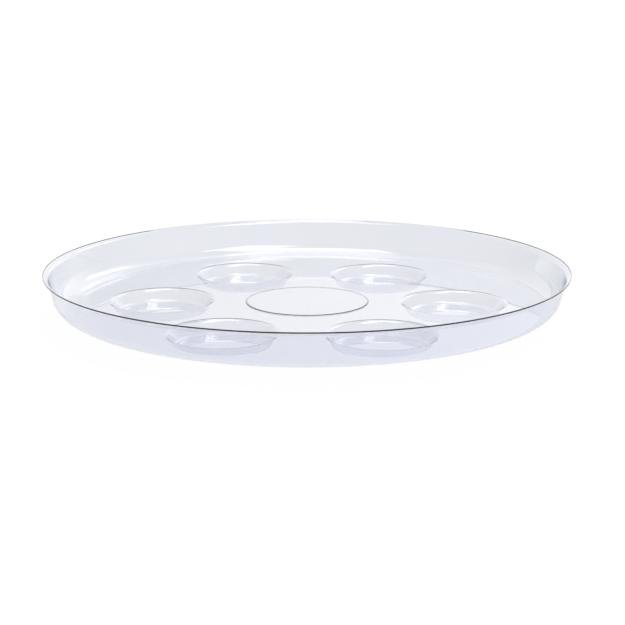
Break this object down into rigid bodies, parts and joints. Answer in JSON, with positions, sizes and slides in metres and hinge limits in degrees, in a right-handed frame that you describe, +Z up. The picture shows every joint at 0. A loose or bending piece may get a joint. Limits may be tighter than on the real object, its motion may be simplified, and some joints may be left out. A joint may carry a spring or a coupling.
{
  "type": "plant saucer",
  "caption": "Shallow round clear plastic saucer with cup-shaped feet, to stand under a plant pot and catch its water.",
  "frame": {"origin": "under the middle of the saucer, on the plane that its feet stand on", "axes": "+Z up, out of the open pan; +X from the middle through foot_1"},
  "size_m": [0.3556, 0.3556, 0.0336],
  "materials": {
    "clear_plastic": "clear, smooth and glossy, with a faint blue tint"
  },
  "bodies": {
    "root": {"floor_panel": "clear_plastic", "side_wall": "clear_plastic", "rim_lip": "clear_plastic", "foot_1": "clear_plastic", "foot_2": "clear_plastic", "foot_3": "clear_plastic", "foot_4": "clear_plastic", "foot_5": "clear_plastic", "foot_6": "clear_plastic"}
  },
  "joints": []
}
